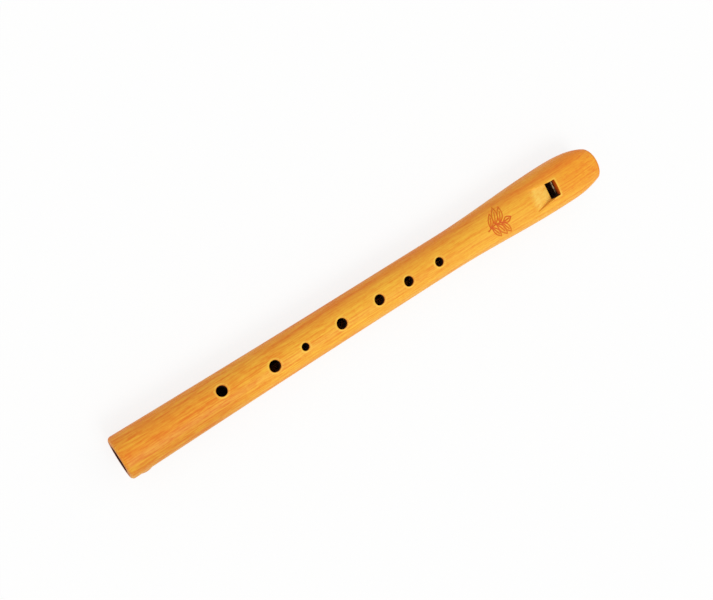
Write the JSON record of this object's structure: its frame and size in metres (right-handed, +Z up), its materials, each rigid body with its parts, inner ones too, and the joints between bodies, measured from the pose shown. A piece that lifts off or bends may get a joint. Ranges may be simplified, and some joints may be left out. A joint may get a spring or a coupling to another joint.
{
  "type": "fipple flute",
  "caption": "One-piece wooden duct flute with an oval beak, a voiced window and ramp, front finger holes, a thumb hole and a pressed-in block.",
  "frame": {"origin": "centre of the footprint of the whole flute, on the surface that it lies on", "axes": "+X along the bore towards the mouthpiece, +Z up through the window and finger holes, +Y to the player's right, the side of the offset little-finger hole"},
  "size_m": [0.3352, 0.0292, 0.0252],
  "materials": {
    "oiled_wood": "oiled satin",
    "block_wood": "bare, fine sanded"
  },
  "bodies": {
    "root": {"flute_body": "oiled_wood", "fipple_block": "block_wood"}
  },
  "joints": []
}
